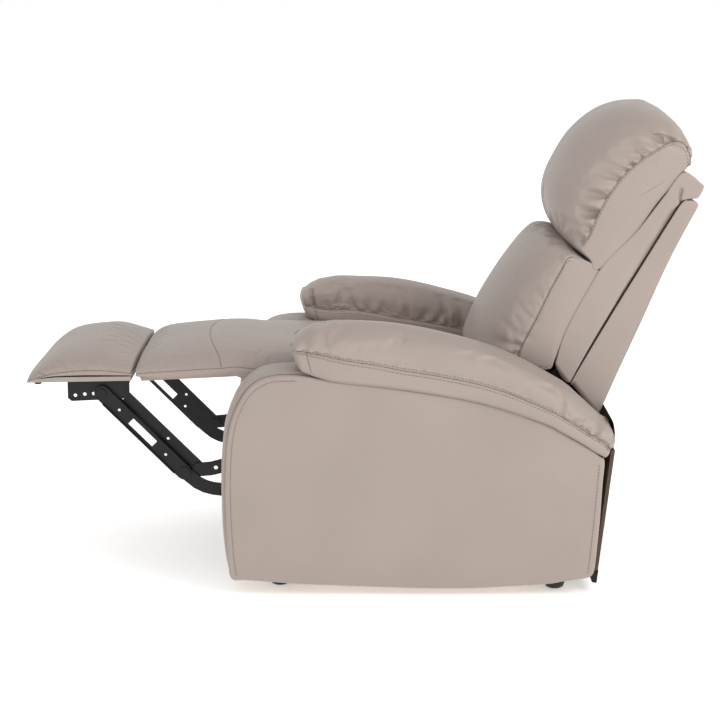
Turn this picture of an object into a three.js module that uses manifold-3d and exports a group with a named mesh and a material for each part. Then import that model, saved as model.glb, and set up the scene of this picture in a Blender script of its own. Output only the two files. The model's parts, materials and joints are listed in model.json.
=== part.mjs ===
// Manual recliner armchair, shown part reclined with the leg rest out.
// Millimetres. +Z up, the sitter faces -Y, +X is the sitter's left. Ground at Z = 0.
import * as THREE from 'three';
import { mergeVertices } from 'three/addons/utils/BufferGeometryUtils.js';
import Module from 'manifold-3d';

// ---- driving dimensions ----
const PANEL_OUT = 380;          // outer face of the side panels
const PANEL_IN = 366;           // inner face of the outer side panels
const ARM_OUT = 365.6;          // outer face of the arm box
const ARM_IN = 263.4;           // inner face of the arm box
const LINER_OUT = 263;          // arm liner, side away from the seat
const LINER_IN = 255;           // arm liner, side facing the seat
const PILLOW_IN = 250;          // arm pillow, seat side
const PILLOW_OUT = 392;         // arm pillow, outer side
const SEAT_HALF = 246;          // half width of seat, back and leg rest
const FRAME_HALF = 215.7;       // half width of the timber seat frame
const PLATE_X = [216, 219.5];   // seat side plates
const SECOND_X = [226, 229];    // inner leg rest links
const UPPER_X = [231.5, 234.5]; // upper drive arms and leg rest brackets
const LOWER_X = [236.5, 239.5]; // curved drive arms
const FRONT_X = [241.5, 244.5]; // outer leg rest links
const P_DRIVE = [-150, 302];    // drive shaft (Y, Z)
const P_KNEE = [-375, 232];     // outer link on the curved arm
const P_KNEE2 = [-343, 236];    // inner link on the upper arm
const P_FOOT = [-547, 405];     // outer link on the leg rest bracket
const P_FOOT2 = [-508, 402];    // inner link on the leg rest bracket
const P_BACK = [330, 404];      // back hinge
const PIN_R = 4;
const PIN_GAP = 0.4;
const SHAFT_R = 9;

// ---- materials ----
const leather = new THREE.MeshStandardMaterial({ color: 0xa89c90, roughness: 0.5, metalness: 0.0 });
const leatherShade = new THREE.MeshStandardMaterial({ color: 0xa09488, roughness: 0.52, metalness: 0.0 });
const blackSteel = new THREE.MeshStandardMaterial({ color: 0x17181a, roughness: 0.42, metalness: 0.55 });
const blackPlastic = new THREE.MeshStandardMaterial({ color: 0x141415, roughness: 0.5, metalness: 0.0 });
const blackCloth = new THREE.MeshStandardMaterial({ color: 0x161514, roughness: 0.95, metalness: 0.0 });
const brownCloth = new THREE.MeshStandardMaterial({ color: 0x5a4e42, roughness: 0.9, metalness: 0.0 });
const timber = new THREE.MeshStandardMaterial({ color: 0xb08a5c, roughness: 0.7, metalness: 0.0 });
const springSteel = new THREE.MeshStandardMaterial({ color: 0x6d7074, roughness: 0.35, metalness: 0.8 });

const wasm = await Module();
wasm.setup();
const chair = new THREE.Group();
chair.name = 'recliner_armchair';

// ---- helpers ----
function shapeOf(points) {
  const s = new THREE.Shape();
  s.setFromPoints(points.map(([y, z]) => new THREE.Vector2(y, z)));
  return s;
}

function smooth(points, count, closed = false) {
  const v = points.map(([y, z]) => new THREE.Vector3(y, z, 0));
  const curve = new THREE.CatmullRomCurve3(v, closed, 'centripetal');
  return curve.getSpacedPoints(count).map((p) => [p.x, p.y]);
}

function circle(cy, cz, r, n = 12) {
  const path = new THREE.Path();
  const pts = [];
  for (let i = 0; i < n; i += 1) {
    const a = (2 * Math.PI * i) / n;
    pts.push(new THREE.Vector2(cy + r * Math.cos(a), cz + r * Math.sin(a)));
  }
  path.setFromPoints(pts);
  return path;
}

// Hole outline, always turned anticlockwise.
function hole(points) {
  const path = new THREE.Path();
  const turned = points.map(([y, z]) => new THREE.Vector2(y, z));
  if (THREE.ShapeUtils.isClockWise(turned)) {
    turned.reverse();
  }
  path.setFromPoints(turned);
  return path;
}

// A (Y, Z) outline given thickness along X, from x0 to x1, with optional soft edges.
function slab(shape, x0, x1, soft = 0, depthSoft = soft, steps = 3) {
  const bevel = soft > 0;
  const g = new THREE.ExtrudeGeometry(shape, {
    depth: x1 - x0 - (bevel ? 2 * depthSoft : 0),
    bevelEnabled: bevel,
    bevelSize: soft,
    bevelOffset: -soft,
    bevelThickness: depthSoft,
    bevelSegments: steps,
    curveSegments: 12,
  });
  // (shape x, shape y, depth) -> (Y, Z, X)
  const m = new THREE.Matrix4().set(0, 0, 1, x0 + (bevel ? depthSoft : 0), 1, 0, 0, 0, 0, 1, 0, 0, 0, 0, 0, 1);
  g.applyMatrix4(m);
  return g;
}

function box(x0, x1, y0, y1, z0, z1) {
  const g = new THREE.BoxGeometry(x1 - x0, y1 - y0, z1 - z0);
  g.translate((x0 + x1) / 2, (y0 + y1) / 2, (z0 + z1) / 2);
  return g;
}

// Round bar along X.
function barX(y, z, r, x0, x1, n = 12) {
  const g = new THREE.CylinderGeometry(r, r, Math.abs(x1 - x0), n);
  g.rotateZ(Math.PI / 2);
  g.translate((x0 + x1) / 2, y, z);
  return g;
}

function toManifold(geometry) {
  const g = geometry.clone();
  g.deleteAttribute('normal');
  g.deleteAttribute('uv');
  const m = mergeVertices(g.index ? g.toNonIndexed() : g, 1e-4);
  const vertProperties = new Float32Array(m.attributes.position.array);
  const triVerts = new Uint32Array(m.index.array);
  return new wasm.Manifold(new wasm.Mesh({ numProp: 3, vertProperties, triVerts }));
}

function fromManifold(solid) {
  const mesh = solid.getMesh();
  const g = new THREE.BufferGeometry();
  const flat = new Float32Array(mesh.triVerts.length * 3);
  for (let i = 0; i < mesh.triVerts.length; i += 1) {
    for (let k = 0; k < 3; k += 1) {
      flat[3 * i + k] = mesh.vertProperties[mesh.numProp * mesh.triVerts[i] + k];
    }
  }
  g.setAttribute('position', new THREE.BufferAttribute(flat, 3));
  g.computeVertexNormals();
  return g;
}

function join(...geometries) {
  return fromManifold(geometries.map(toManifold).reduce((a, b) => a.add(b)));
}

function cut(geometry, ...tools) {
  return fromManifold(tools.map(toManifold).reduce((a, b) => a.subtract(b), toManifold(geometry)));
}

// The same geometry on the other side of the X = 0 plane, facing out.
function mirrored(geometry) {
  const g = geometry.index ? geometry.toNonIndexed() : geometry.clone();
  const p = g.attributes.position;
  for (let i = 0; i < p.count; i += 3) {
    const a = [p.getX(i), p.getY(i), p.getZ(i)];
    const b = [p.getX(i + 1), p.getY(i + 1), p.getZ(i + 1)];
    const c = [p.getX(i + 2), p.getY(i + 2), p.getZ(i + 2)];
    p.setXYZ(i, -a[0], a[1], a[2]);
    p.setXYZ(i + 1, -c[0], c[1], c[2]);
    p.setXYZ(i + 2, -b[0], b[1], b[2]);
  }
  g.computeVertexNormals();
  return g;
}

function add(name, geometry, material) {
  const mesh = new THREE.Mesh(geometry, material);
  mesh.name = name;
  chair.add(mesh);
}

function pair(name, geometry, material) {
  add(`left_${name}`, geometry, material);
  add(`right_${name}`, mirrored(geometry), material);
}

// ---- arm outline (Y, Z), from the bottom front corner round to the bottom rear corner ----
const FRONT_EDGE = [[-268, 37], [-277, 120], [-279, 225], [-273, 335], [-264, 376], [-241, 428], [-211, 456]];
const TOP_EDGE = [[-180, 467], [-127, 469], [-61, 458], [82, 441], [246, 413], [370, 373], [474, 315], [507, 291]];
const REAR_EDGE = [[496, 160], [486, 40]];
const BOTTOM_EDGE = [[377, 24], [188, 15.5], [-63, 22], [-230, 33]];
const armFront = smooth(FRONT_EDGE.concat(TOP_EDGE.slice(0, 2)), 14);
const armTop = smooth(TOP_EDGE.slice(1), 10).slice(1);
const armBottom = smooth([[486, 40]].concat(BOTTOM_EDGE, [[-268, 37]]), 8).slice(1, -1);
const armOutline = armFront.concat(armTop, REAR_EDGE, armBottom);

// Outer side panels. The right one has a window for the release handle cup.
const CUP = { y0: -20, y1: 92, z0: 306, z1: 372 };
add('left_outer_panel', slab(shapeOf(armOutline), PANEL_IN, PANEL_OUT, 4, 4, 2), leather);
const rightPanel = mirrored(slab(shapeOf(armOutline), PANEL_IN, PANEL_OUT, 4, 4, 2));
const cupWindow = box(-400, -350, CUP.y0, CUP.y1, CUP.z0, CUP.z1);
add('right_outer_panel', cut(rightPanel, cupWindow), leather);

// Inner arm liners, with a small hole on the right for the release cable.
const CABLE_HOLE = [150, 235];
const liner = shapeOf(armOutline.map(([y, z]) => [y * 0.97 + 3, z > 250 ? z - 8 : z + 6]));
add('left_inner_panel', slab(liner, LINER_IN, LINER_OUT), leatherShade);
const linerRight = shapeOf(armOutline.map(([y, z]) => [y * 0.97 + 3, z > 250 ? z - 8 : z + 6]));
linerRight.holes.push(circle(CABLE_HOLE[0], CABLE_HOLE[1], 12));
add('right_inner_panel', mirrored(slab(linerRight, LINER_IN, LINER_OUT)), leatherShade);

// Padded front bands that wrap the arm fronts up to the pillows.
const bandOuter = smooth([[-272, 37], [-285, 120], [-288, 225], [-282, 335], [-272, 382], [-248, 436],
  [-215, 465], [-180, 476], [-130, 477.5]], 14);
const bandInner = smooth([[-130, 461], [-178, 458], [-205, 448], [-232, 422], [-253, 372], [-262, 333],
  [-267, 225], [-265, 120], [-258, 37]], 14);
pair('front_band', slab(shapeOf(bandOuter.concat(bandInner)), ARM_IN, ARM_OUT, 3, 5, 1), leather);

// Timber arm boxes, open in the middle.
const boxOutline = [[-244, 45], [-254, 130], [-256, 225], [-250, 325], [-240, 370], [-218, 415], [-196, 436],
  [-170, 446], [-125, 448], [-61, 441], [82, 424], [246, 396], [370, 356], [470, 300], [486, 286],
  [466, 48], [377, 32], [188, 23.5], [-63, 30], [-225, 40]];
const boxWindow = [[-190, 110], [-200, 225], [-190, 330], [-150, 390], [-61, 394], [82, 384], [246, 352],
  [345, 316], [415, 270], [400, 110], [188, 84], [-63, 90]];
const armBox = shapeOf(boxOutline);
armBox.holes.push(hole(boxWindow));
pair('arm_box', slab(armBox, ARM_IN + 0.4, ARM_OUT - 0.4), timber);

// Arm pillows.
const pillow = smooth([[-104, 476], [-126, 484], [-140, 504], [-131, 530], [-98, 551], [-60, 563], [-17, 569.5],
  [60, 566], [145, 550], [249, 525], [374, 480], [417, 457], [459, 417], [498, 374], [522, 343], [525, 322],
  [512, 305], [490, 308.5], [465, 323], [370, 377], [246, 417], [82, 445], [-50, 461]], 34, true).slice(0, -1);
pair('arm_pillow', slab(shapeOf(pillow), PILLOW_IN, PILLOW_OUT, 20, 44, 3), leather);

// ---- base frame between the arms ----
add('front_rail', box(-254.6, 254.6, -205, -183, 24, 44), timber);
add('rear_rail', box(-254.6, 254.6, 440, 466, 28, 72), timber);
pair('base_rail', box(242, 254.6, -182.6, 439.6, 24, 44), timber);
const rearCover = shapeOf([[488, 22], [496, 22], [529, 306], [521, 306]]);
add('rear_dust_panel', slab(rearCover, -352, 352), brownCloth);
// Steel runners that carry the sliding seat.
pair('seat_runner', join(box(222, 240, 75, 335, 140, 144), box(236, 240, 75, 335, 120, 164),
  box(240 - 0.1, 254.6, 90, 120, 130, 150), box(240 - 0.1, 254.6, 270, 300, 130, 150)), blackSteel);

function foot(x, y, top) {
  const r = 22;
  const pts = [[0, 0], [14, 0], [19, 3], [21.5, 9], [r, 16], [r, top], [0, top]];
  const g = new THREE.LatheGeometry(pts.map(([a, b]) => new THREE.Vector2(a, b)), 12);
  g.rotateX(Math.PI / 2);
  g.translate(x, y, 0);
  return g;
}
add('left_front_foot', foot(287, -170, 32), blackPlastic);
add('right_front_foot', foot(-287, -170, 32), blackPlastic);
add('left_rear_foot', foot(312, 412, 31), blackPlastic);
add('right_rear_foot', foot(-312, 412, 31), blackPlastic);

// ---- release handle in the right arm ----
const cupOuter = box(-381.5, -358, CUP.y0 + 0.4, CUP.y1 - 0.4, CUP.z0 + 0.4, CUP.z1 - 0.4);
const cupInner = box(-390, -361, CUP.y0 + 4, CUP.y1 - 4, CUP.z0 + 4, CUP.z1 - 4);
add('release_cup', cut(cupOuter, cupInner), blackPlastic);
const PADDLE_AXIS = [-373, -9];
const paddle = join(box(-376, -370, -9, 62, 318, 360),
  new THREE.CylinderGeometry(4, 4, 46, 16).rotateX(Math.PI / 2).translate(PADDLE_AXIS[0], PADDLE_AXIS[1], 339));
add('release_paddle', paddle, blackPlastic);
// Cable sheath from the cup to the latch on the base rail.
const cablePath = new THREE.CatmullRomCurve3([[-356.5, 0, 335], [-340, 10, 326], [-310, 60, 270], [-287, 130, 240],
  [-270, 147, 236], [-256, CABLE_HOLE[0], CABLE_HOLE[1]], [-248, 157, 226], [-246, 168, 195], [-246, 172, 157.5]]
  .map((p) => new THREE.Vector3(...p)));
const cableRound = new THREE.Shape();
cableRound.absarc(0, 0, 2.5, 0, 2 * Math.PI, false);
const cable = new THREE.ExtrudeGeometry(cableRound, { steps: 16, extrudePath: cablePath, curveSegments: 3,
  bevelEnabled: false });
add('release_cable', cable, blackPlastic);
add('release_latch', box(-254.4, -242, 156, 188, 134, 157), blackSteel);

// ---- sliding seat ----
const plateShape = shapeOf([[-175, 268], [-150, 262], [-60, 150], [330, 150], [350, 190], [350, 404],
  [344, 419], [330, 424], [316, 419], [305, 386], [-160, 386], [-178, 340], [-180, 290]]);
plateShape.holes.push(circle(P_DRIVE[0], P_DRIVE[1], SHAFT_R + PIN_GAP, 16));
plateShape.holes.push(circle(P_BACK[0], P_BACK[1], 6 + PIN_GAP, 12));
const plate = join(slab(plateShape, ...PLATE_X), box(PLATE_X[1] - 0.1, 234, 150, 250, 144.4, 150),
  box(PLATE_X[1] - 0.1, 234, 150, 250, 133.6, 139.6), box(PLATE_X[0], PLATE_X[1], 150, 250, 133.6, 152));
pair('seat_side_plate', plate, blackSteel);

const frameOuter = box(-FRAME_HALF, FRAME_HALF, -238, 312, 350, 388);
const frameInner = box(-FRAME_HALF + 34, FRAME_HALF - 34, -204, 278, 340, 398);
add('seat_frame', cut(frameOuter, frameInner), timber);
// Sinuous springs across the open seat frame, front to back.
for (let i = 0; i < 3; i += 1) {
  const x = -105 + 105 * i;
  const pts = [];
  for (let k = 0; k <= 14; k += 1) {
    const swing = k === 0 || k === 14 ? 0 : (k % 2 === 0 ? -24 : 24);
    pts.push(new THREE.Vector3(x + swing, -214 + (502 * k) / 14, 391.5));
  }
  const wire = new THREE.Shape();
  wire.absarc(0, 0, 2, 0, 2 * Math.PI, false);
  const g = new THREE.ExtrudeGeometry(wire, { steps: 28, curveSegments: 2, bevelEnabled: false,
    extrudePath: new THREE.CatmullRomCurve3(pts, false, 'centripetal') });
  add(`seat_spring_${i + 1}`, g, springSteel);
}
const cushion = smooth([[-247, 440], [-246, 470], [-234, 487], [-210, 494], [-150, 496], [-60, 491], [40, 478],
  [110, 460], [160, 440], [200, 430], [250, 425], [292, 420], [307, 409], [296, 398], [200, 395], [0, 395],
  [-200, 395], [-240, 400]], 32, true).slice(0, -1);
add('seat_cushion', slab(shapeOf(cushion), -SEAT_HALF, SEAT_HALF, 10, 40, 3), leather);

// ---- drive arms on the cross shaft ----
add('drive_shaft', barX(P_DRIVE[0], P_DRIVE[1], SHAFT_R, -240.4, 240.4, 16), blackSteel);

// Strip of flat steel along a (Y, Z) path, with round ends.
function strap(path, halfWidth, count) {
  const pts = path.length > 2 ? smooth(path, count) : path;
  const left = [];
  const right = [];
  const last = pts.length - 1;
  for (let i = 0; i <= last; i += 1) {
    const a = pts[Math.max(i - 1, 0)];
    const b = pts[Math.min(i + 1, last)];
    const len = Math.hypot(b[0] - a[0], b[1] - a[1]);
    const n = [-(b[1] - a[1]) / len, (b[0] - a[0]) / len];
    left.push([pts[i][0] + n[0] * halfWidth, pts[i][1] + n[1] * halfWidth]);
    right.push([pts[i][0] - n[0] * halfWidth, pts[i][1] - n[1] * halfWidth]);
  }
  const cap = (c, from) => {
    const out = [];
    const start = Math.atan2(from[1] - c[1], from[0] - c[0]);
    for (let k = 1; k < 6; k += 1) {
      const a = start - (Math.PI * k) / 6;
      out.push([c[0] + halfWidth * Math.cos(a), c[1] + halfWidth * Math.sin(a)]);
    }
    return out;
  };
  return shapeOf(left.concat(cap(pts[last], left[last]), right.reverse(), cap(pts[0], right[right.length - 1])));
}

const upperShape = strap([P_DRIVE, [-308, 240], P_KNEE2], 15, 8);
upperShape.holes.push(circle(P_DRIVE[0], P_DRIVE[1], SHAFT_R + PIN_GAP, 16));
upperShape.holes.push(circle(-308, 240, 4.5, 8));
upperShape.holes.push(circle(-225, 270, 5, 8));
const upperArm = join(slab(upperShape, ...UPPER_X), barX(...P_KNEE2, PIN_R, UPPER_X[0] + 0.5, SECOND_X[0] - 2.4),
  barX(...P_KNEE2, 9.6, SECOND_X[0] - 2.5, SECOND_X[0] - 0.5));
pair('upper_arm', upperArm, blackSteel);

const lowerShape = strap([P_DRIVE, [-166, 250], [-215, 208], [-285, 193], [-338, 203], P_KNEE], 14, 16);
lowerShape.holes.push(circle(P_DRIVE[0], P_DRIVE[1], SHAFT_R + PIN_GAP, 16));
lowerShape.holes.push(circle(-285, 193, 4.5, 8));
const lowerArm = join(slab(lowerShape, ...LOWER_X), barX(...P_KNEE, PIN_R, LOWER_X[0] + 0.5, FRONT_X[1] + 1.2),
  barX(...P_KNEE, 12.7, FRONT_X[1] + 0.5, FRONT_X[1] + 3));
pair('curved_arm', lowerArm, blackSteel);

// ---- outer links: flanged, with a long slot and small holes ----
function along(a, b, t, side = 0) {
  const len = Math.hypot(b[0] - a[0], b[1] - a[1]);
  const u = [(b[0] - a[0]) / len, (b[1] - a[1]) / len];
  return [a[0] + u[0] * t - u[1] * side, a[1] + u[1] * t + u[0] * side];
}
const outerShape = strap([P_KNEE, P_FOOT], 16, 2);
const SLOT = [88, 158, 8];
const knee = (t, s) => along(P_KNEE, P_FOOT, t, s);
outerShape.holes.push(circle(...P_KNEE, PIN_R + PIN_GAP));
outerShape.holes.push(circle(...P_FOOT, PIN_R + PIN_GAP));
outerShape.holes.push(hole([knee(SLOT[0], -SLOT[2]), knee(SLOT[1], -SLOT[2]), knee(SLOT[1], SLOT[2]),
  knee(SLOT[0], SLOT[2])]));
for (const t of [55, 192]) {
  outerShape.holes.push(circle(...knee(t, 0), 3.2, 6));
}
const flange = shapeOf([knee(14, 13.6), knee(226, 13.6), knee(226, 16), knee(14, 16)]);
pair('outer_link', join(slab(outerShape, ...FRONT_X), slab(flange, FRONT_X[0], FRONT_X[1] + 6.5)), blackSteel);

// ---- inner links: the leg rest end is slotted, so the pin there runs with clearance ----
const innerShape = strap([P_KNEE2, along(P_KNEE2, P_FOOT2, 236)], 14, 2);
const knee2 = (t, s) => along(P_KNEE2, P_FOOT2, t, s);
innerShape.holes.push(circle(...P_KNEE2, PIN_R + PIN_GAP));
innerShape.holes.push(hole([knee2(221, -7.5), knee2(240, -7.5), knee2(240, 7.5), knee2(221, 7.5)]));
for (const t of [94]) {
  innerShape.holes.push(circle(...knee2(t, 0), 3.2, 6));
}
pair('inner_link', slab(innerShape, ...SECOND_X), blackSteel);

// ---- leg rest ----
const bracketShape = shapeOf([[-620, 427.4], [-620, 392], [-612, 385.5], [-560, 388], [-545, 386], [-522, 391],
  [-498, 391], [-489, 399], [-489, 427.4]]);
bracketShape.holes.push(circle(-604, 398, 4, 8));
bracketShape.holes.push(circle(-584, 400.5, 4, 8));
bracketShape.holes.push(circle(-565, 401.5, 4, 8));
const bracket = join(slab(bracketShape, ...UPPER_X), box(206, UPPER_X[1], -620, -489, 424.4, 427.4),
  barX(...P_FOOT, PIN_R, UPPER_X[0] + 0.5, FRONT_X[1] + 1.2), barX(...P_FOOT, 9.6, FRONT_X[1] + 0.5, FRONT_X[1] + 3),
  barX(...P_FOOT2, PIN_R, UPPER_X[0] + 0.5, SECOND_X[0] - 2.4),
  barX(...P_FOOT2, 9.6, SECOND_X[0] - 2.5, SECOND_X[0] - 0.5));
pair('leg_rest_bracket', bracket, blackSteel);

const restBoard = shapeOf([[-484, 432], [-486, 441], [-640, 439], [-692, 434.5], [-702, 430], [-700, 427.8]]);
add('leg_rest_board', slab(restBoard, -SEAT_HALF, SEAT_HALF), leatherShade);
const restPad = smooth([[-486, 443.5], [-560, 443.5], [-640, 441.5], [-690, 437], [-703, 436], [-711, 437],
  [-707, 443], [-672, 464], [-632, 480], [-576, 488.5], [-518, 483], [-493, 475], [-483, 463], [-481, 450]], 32, true)
  .slice(0, -1);
add('leg_rest_pad', slab(shapeOf(restPad), -SEAT_HALF, SEAT_HALF, 3, 34, 3), leather);

// ---- front flap between the seat and the leg rest ----
const flapBoard = shapeOf([[-262, 447.5], [-466, 437.5], [-463, 429.5], [-262, 439.5]]);
add('front_flap_board', slab(flapBoard, -236, 236), leatherShade);
const flapPad = smooth([[-262, 451], [-360, 446.5], [-460, 442], [-473, 444], [-474, 462], [-468, 474],
  [-450, 481], [-400, 488], [-330, 494], [-275, 495], [-257, 488], [-254, 465]], 30, true).slice(0, -1);
add('front_flap_pad', slab(shapeOf(flapPad), -SEAT_HALF, SEAT_HALF, 6, 36, 3), leather);

// ---- back ----
// Line of the seam between the back cushions and the wings, and of the joint between wing and outer panel.
const WING_SEAM = [[413, 477], [431, 531], [501, 665], [582, 753], [668, 872]];
const PIPING = [[446, 430], [544, 604], [647, 777], [670, 813.5]];

const lumbar = smooth([[420, 728], [400, 733], [372, 718], [346, 690], [300, 632], [276, 596], [247, 540], [235, 505],
  [231, 480], [240, 462], [265, 457], [340, 456], [388, 460], [408, 482], [428, 534], [462, 600], [494, 660],
  [480, 686]], 32, true).slice(0, -1);
add('lumbar_cushion', slab(shapeOf(lumbar), -SEAT_HALF, SEAT_HALF, 10, 46, 3), leather);

const headrest = smooth([[502, 678], [470, 698], [440, 726], [418, 776], [411, 821], [420, 860], [446, 899],
  [508, 970], [550, 996], [594, 1004], [640, 992], [676, 962], [694, 925], [695, 898], [682, 884], [664, 872],
  [620, 808], [578, 754], [530, 702]], 34, true).slice(0, -1);
add('headrest_cushion', slab(shapeOf(headrest), -SEAT_HALF, SEAT_HALF, 10, 50, 3), leather);

const wing = WING_SEAM.map(([y, z]) => [y + 1.5, z - 0.5]).concat(smooth([[669, 872], [688, 868], [705, 855],
  [716, 838], [712, 822], [700, 815.5]], 8).slice(1), [[670, 815.5]],
PIPING.slice(0, 3).reverse().map(([y, z]) => [y - 1.2, z + 0.8]), [[428, 440], [415, 462]]);
pair('wing', slab(shapeOf(wing), 216, SEAT_HALF, 5, 8, 3), leather);
const roll = smooth([[640, 826], [668, 871], [688, 867], [704, 855], [715, 838], [711, 822], [700, 816.5]], 14)
  .concat([[664, 816.5]]);
add('back_top_roll', slab(shapeOf(roll), -215, 215, 3, 3, 2), leather);

const outerBack = shapeOf([[504, 359], [588, 554], [639, 673], [699, 795], [702, 808], [696, 813.5], [672, 812],
  [648, 776], [545, 603], [447, 429]]);
add('outer_back_panel', slab(outerBack, -SEAT_HALF, SEAT_HALF, 2, 3, 2), leather);

const boardShape = [[443, 438], [541, 607], [637, 769], [659, 805], [644, 809], [624, 776], [528, 614], [430, 445]];
add('back_board', slab(shapeOf(boardShape), -207.6, 207.6), timber);
const bracketPoints = [[318, 394], [330, 388], [342, 390], [430, 424], [444, 437], [520, 568], [495, 582], [416, 452],
  [402, 438], [330, 419], [318, 414]];
const backBracket = join(slab(shapeOf(bracketPoints), 208, 211), barX(...P_BACK, 6, 210.5, 222),
  barX(...P_BACK, 11, 220.2, 223));
pair('back_bracket', backBracket, blackSteel);
add('lower_back_cover', slab(shapeOf([[443, 424], [500, 357], [486, 345], [424, 408]]), -240, 240), blackCloth);

export default chair;
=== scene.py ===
"""Recliner armchair: the leather, cushions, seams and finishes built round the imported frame."""
import json
import math

import bpy
import numpy as np
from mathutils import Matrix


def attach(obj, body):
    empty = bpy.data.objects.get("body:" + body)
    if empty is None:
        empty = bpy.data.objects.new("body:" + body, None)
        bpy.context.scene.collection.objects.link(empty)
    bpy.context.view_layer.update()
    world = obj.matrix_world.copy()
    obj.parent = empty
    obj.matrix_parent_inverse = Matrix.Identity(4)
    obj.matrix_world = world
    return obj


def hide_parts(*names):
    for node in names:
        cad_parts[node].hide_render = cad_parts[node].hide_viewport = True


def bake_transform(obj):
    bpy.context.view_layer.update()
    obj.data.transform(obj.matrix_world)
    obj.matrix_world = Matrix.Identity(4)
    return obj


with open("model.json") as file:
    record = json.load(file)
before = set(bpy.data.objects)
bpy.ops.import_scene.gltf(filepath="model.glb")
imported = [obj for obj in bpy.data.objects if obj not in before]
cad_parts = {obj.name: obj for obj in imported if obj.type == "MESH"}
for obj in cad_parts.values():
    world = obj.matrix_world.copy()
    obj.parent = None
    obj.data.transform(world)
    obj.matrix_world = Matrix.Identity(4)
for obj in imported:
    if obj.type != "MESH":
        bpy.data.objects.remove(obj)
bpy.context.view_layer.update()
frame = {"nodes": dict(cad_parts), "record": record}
NODES = frame["nodes"]
MM = 0.001

# ---------------------------------------------------------------- camera, light, stage
scene = bpy.context.scene
CAMERA_AT = (4.4, 0.0, 1.278)
CAMERA_LOOKS_DOWN = 10.92  # degrees below the horizon, looking along -X
LENS_MM = 100.3
cam_data = bpy.data.cameras.new("camera")
camera = bpy.data.objects.new("camera", cam_data)
scene.collection.objects.link(camera)
camera.location = CAMERA_AT
camera.rotation_euler = (math.radians(90 - CAMERA_LOOKS_DOWN), 0.0, math.radians(90))
cam_data.sensor_width = 36.0
cam_data.lens = LENS_MM
cam_data.dof.use_dof = False
scene.camera = camera


def area_light(name, at, look, size, power, colour=(1, 1, 1)):
    data = bpy.data.lights.new(name, "AREA")
    data.shape = "RECTANGLE"
    data.size, data.size_y = size
    data.energy = power
    data.color = colour
    lamp = bpy.data.objects.new(name, data)
    scene.collection.objects.link(lamp)
    lamp.location = at
    d = np.array(look, float) - np.array(at, float)
    yaw = math.atan2(d[1], d[0])
    pitch = math.atan2(math.hypot(d[0], d[1]), -d[2])
    lamp.rotation_euler = (pitch, 0.0, yaw - math.pi / 2)
    return lamp


area_light("key", (2.2, 2.2, 2.1), (0, 0.1, 0.5), (1.6, 1.6), 38, (1.0, 0.98, 0.965))
area_light("fill", (3.8, -0.8, 1.4), (0, 0, 0.4), (2.4, 2.0), 9)
world = bpy.data.worlds.new("studio")
scene.world = world
world.use_nodes = True
_w = world.node_tree
_split = _w.nodes.new("ShaderNodeSeparateXYZ")
_w.links.new(_w.nodes.new("ShaderNodeTexCoord").outputs["Generated"], _split.inputs[0])
_sky = _w.nodes.new("ShaderNodeValToRGB")
_sky.color_ramp.elements[0].position, _sky.color_ramp.elements[0].color = 0.10, (1, 1, 1, 1)
_sky.color_ramp.elements[1].position, _sky.color_ramp.elements[1].color = 0.75, (0.86, 0.855, 0.85, 1)
_w.links.new(_split.outputs["Z"], _sky.inputs[0])
_w.links.new(_sky.outputs[0], _w.nodes["Background"].inputs[0])
_w.nodes["Background"].inputs[1].default_value = 1.0
scene.view_settings.view_transform = "Standard"

bpy.ops.mesh.primitive_plane_add(size=30, location=(0, 0, -0.0005))
floor = bpy.context.object
floor.name = "floor"


# ---------------------------------------------------------------- materials
def new_material(name):
    m = bpy.data.materials.new(name)
    m.use_nodes = True
    return m, m.node_tree.nodes, m.node_tree.links, m.node_tree.nodes["Principled BSDF"]


def noise(nodes, links, coord, scale, detail=3.0, rough=0.5):
    n = nodes.new("ShaderNodeTexNoise")
    n.inputs["Scale"].default_value = scale
    n.inputs["Detail"].default_value = detail
    n.inputs["Roughness"].default_value = rough
    links.new(coord, n.inputs["Vector"])
    return n.outputs["Fac"]


def ramp(nodes, links, fac, stops):
    r = nodes.new("ShaderNodeValToRGB")
    e = r.color_ramp.elements
    while len(e) < len(stops):
        e.new(0.5)
    for k, (p, c) in enumerate(stops):
        e[k].position = p
        e[k].color = (*c, 1) if len(c) == 3 else c
    links.new(fac, r.inputs["Fac"])
    return r.outputs["Color"]


def bump(nodes, links, height, strength, distance, normal=None):
    b = nodes.new("ShaderNodeBump")
    b.inputs["Strength"].default_value = strength
    b.inputs["Distance"].default_value = distance
    links.new(height, b.inputs["Height"])
    if normal is not None:
        links.new(normal, b.inputs["Normal"])
    return b.outputs["Normal"]


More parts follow.
